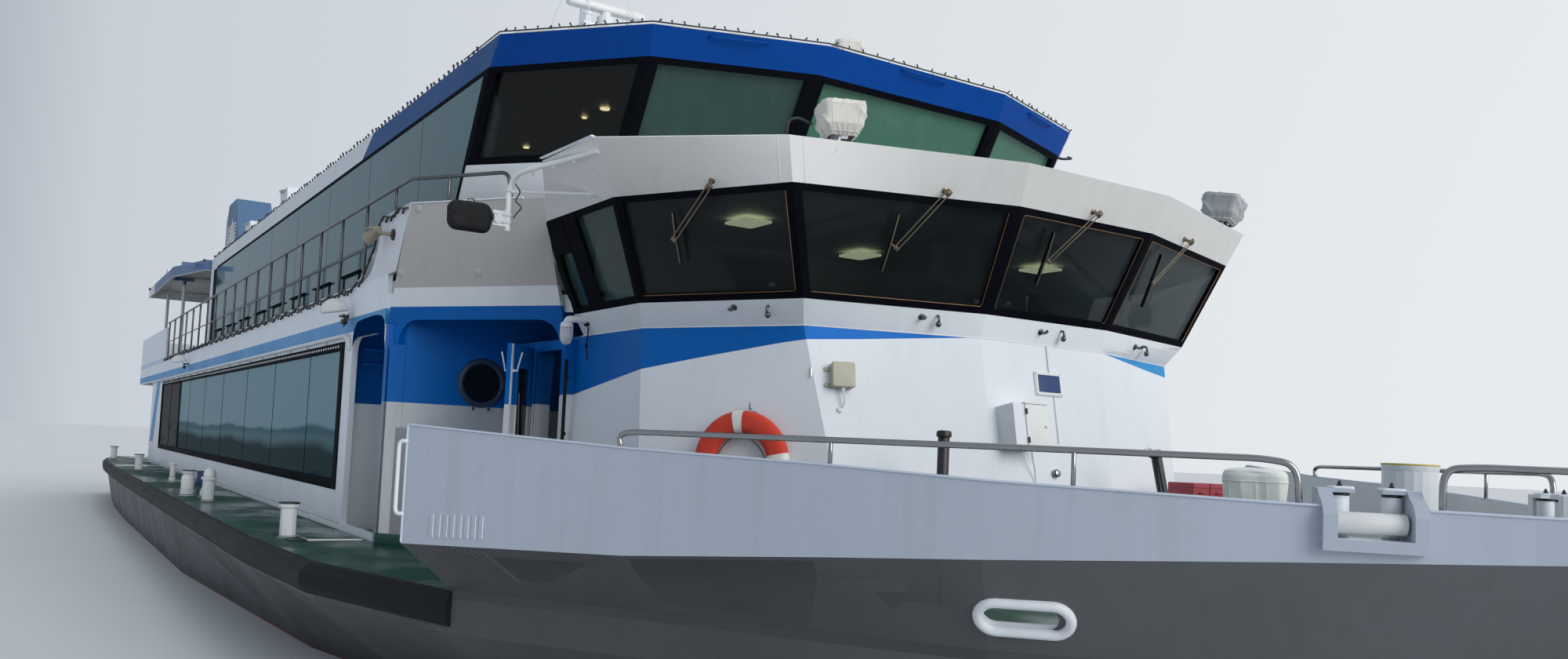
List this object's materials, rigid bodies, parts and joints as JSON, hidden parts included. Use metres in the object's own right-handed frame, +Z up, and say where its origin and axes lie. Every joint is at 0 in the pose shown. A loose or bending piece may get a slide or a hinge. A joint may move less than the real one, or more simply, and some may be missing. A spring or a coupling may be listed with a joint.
{
  "type": "sightseeing boat",
  "caption": "Double-deck sightseeing boat with a glazed saloon, a faceted wheelhouse tower, an upper lounge, an aft canopy and twin screws",
  "frame": {"origin": "on the centreline at the waterline, amidships", "axes": "+X to the bow, +Y to port, +Z up"},
  "size_m": [37.3161, 9.99, 12.8],
  "materials": {
    "hull_grey": "satin grey hull paint",
    "deck_green": "matt green deck paint",
    "white": "gloss white paint",
    "beige": "satin beige-grey paint",
    "blue": "gloss blue paint",
    "fender_rubber": "matt black",
    "window_black": "satin black",
    "window_glass": "tinted",
    "rail_steel": "polished stainless",
    "bronze": "cast",
    "canvas": "coated cloth",
    "orange": "foam ring in orange cloth",
    "red": "moulded box",
    "mirror_black": "padded cover",
    "machine_green": "painted castings"
  },
  "bodies": {
    "boat": {"hull": "hull_grey", "main_deck": "deck_green", "bulwark_lower": "hull_grey", "bulwark_upper": "white", "bow_rail_stem": "rail_steel", "mooring_bitt": "white", "windlass_cover": "canvas", "front_bulkhead": "blue", "aft_bulkhead": "white", "upper_deck": "white", "tower": "white", "wheelhouse_window_frame": "window_black", "wheelhouse_glazing": "window_glass", "wheelhouse_roof": "white", "wheelhouse_console": "window_black", "lounge_wall": "white", "lounge_window_frame": "window_black", "lounge_glazing": "window_glass", "hose_boxes": "red", "life_ring": "orange", "junction_box": "beige", "roof_searchlight": "canvas", "roof_band": "blue", "lounge_roof": "white", "mast": "white", "aft_canopy": "white", "engine_starboard": "machine_green", "engine_port": "machine_green", "fender_starboard": "fender_rubber", "fender_port": "fender_rubber", "bow_rail_starboard": "rail_steel", "bow_rail_port": "rail_steel", "saloon_side_starboard": "white", "saloon_side_port": "white", "saloon_glazing_starboard": "window_glass", "saloon_glazing_port": "window_glass", "corner_panel_starboard": "beige", "corner_panel_port": "beige", "funnel_starboard": "white", "funnel_port": "white", "mirror_starboard": "mirror_black", "mirror_port": "mirror_black", "bridge_searchlight_starboard": "canvas", "bridge_searchlight_port": "canvas", "promenade_rail_starboard": "rail_steel", "promenade_rail_port": "rail_steel"},
    "radar": {"radar_scanner": "white"},
    "lounge_door": {"lounge_door": "white"},
    "propeller_starboard": {"propeller_starboard": "bronze"},
    "rudder_starboard": {"rudder_starboard": "hull_grey"},
    "fairlead_roller_starboard": {"fairlead_roller_starboard": "white"},
    "aft_door_starboard": {"aft_door_starboard": "white"},
    "tower_door_starboard": {"tower_door_starboard": "white"},
    "propeller_port": {"propeller_port": "bronze"},
    "rudder_port": {"rudder_port": "hull_grey"},
    "fairlead_roller_port": {"fairlead_roller_port": "white"},
    "aft_door_port": {"aft_door_port": "white"},
    "tower_door_port": {"tower_door_port": "white"}
  },
  "joints": [
    {"name": "propeller_starboard_spin", "type": "hinge", "parent": "boat", "child": "propeller_starboard", "pos_m": [-15.95, -1.9, -0.96], "axis": [1, 0, 0], "continuous": true},
    {"name": "rudder_starboard_turn", "type": "hinge", "parent": "boat", "child": "rudder_starboard", "pos_m": [-17.05, -1.9, -0.9], "axis": [0, 0, 1], "range_deg": [-35, 35]},
    {"name": "fairlead_roller_starboard_spin", "type": "hinge", "parent": "boat", "child": "fairlead_roller_starboard", "pos_m": [17.44855, -1.09586, 1.91], "axis": [0.7153, 0.6988, 0], "continuous": true},
    {"name": "tower_door_starboard_swing", "type": "hinge", "parent": "boat", "child": "tower_door_starboard", "pos_m": [10.3, -2.812, 1.178], "axis": [0, 0, 1], "range_deg": [-70, 40]},
    {"name": "aft_door_starboard_swing", "type": "hinge", "parent": "boat", "child": "aft_door_starboard", "pos_m": [-14.126, -0.46, 1.178], "axis": [0, 0, -1], "range_deg": [0, 110]},
    {"name": "propeller_port_spin", "type": "hinge", "parent": "boat", "child": "propeller_port", "pos_m": [-15.95, 1.9, -0.96], "axis": [1, 0, 0], "continuous": true},
    {"name": "rudder_port_turn", "type": "hinge", "parent": "boat", "child": "rudder_port", "pos_m": [-17.05, 1.9, -0.9], "axis": [0, 0, 1], "range_deg": [-35, 35]},
    {"name": "fairlead_roller_port_spin", "type": "hinge", "parent": "boat", "child": "fairlead_roller_port", "pos_m": [17.44855, 1.09586, 1.91], "axis": [0.7153, -0.6988, 0], "continuous": true},
    {"name": "tower_door_port_swing", "type": "hinge", "parent": "boat", "child": "tower_door_port", "pos_m": [10.3, 2.812, 1.178], "axis": [0, 0, -1], "range_deg": [-70, 40]},
    {"name": "aft_door_port_swing", "type": "hinge", "parent": "boat", "child": "aft_door_port", "pos_m": [-14.126, 0.46, 1.178], "axis": [0, 0, 1], "range_deg": [0, 110]},
    {"name": "radar_scanner_spin", "type": "hinge", "parent": "boat", "child": "radar", "pos_m": [5.06, 0, 8.33], "axis": [0, 0, 1], "continuous": true},
    {"name": "lounge_door_swing", "type": "hinge", "parent": "boat", "child": "lounge_door", "pos_m": [-7.526, 0.42, 3.568], "axis": [0, 0, -1], "range_deg": [0, 110]}
  ],
  "couplings": [
    {"joint": "rudder_port_turn", "follows": "rudder_starboard_turn", "ratio": 1}
  ]
}
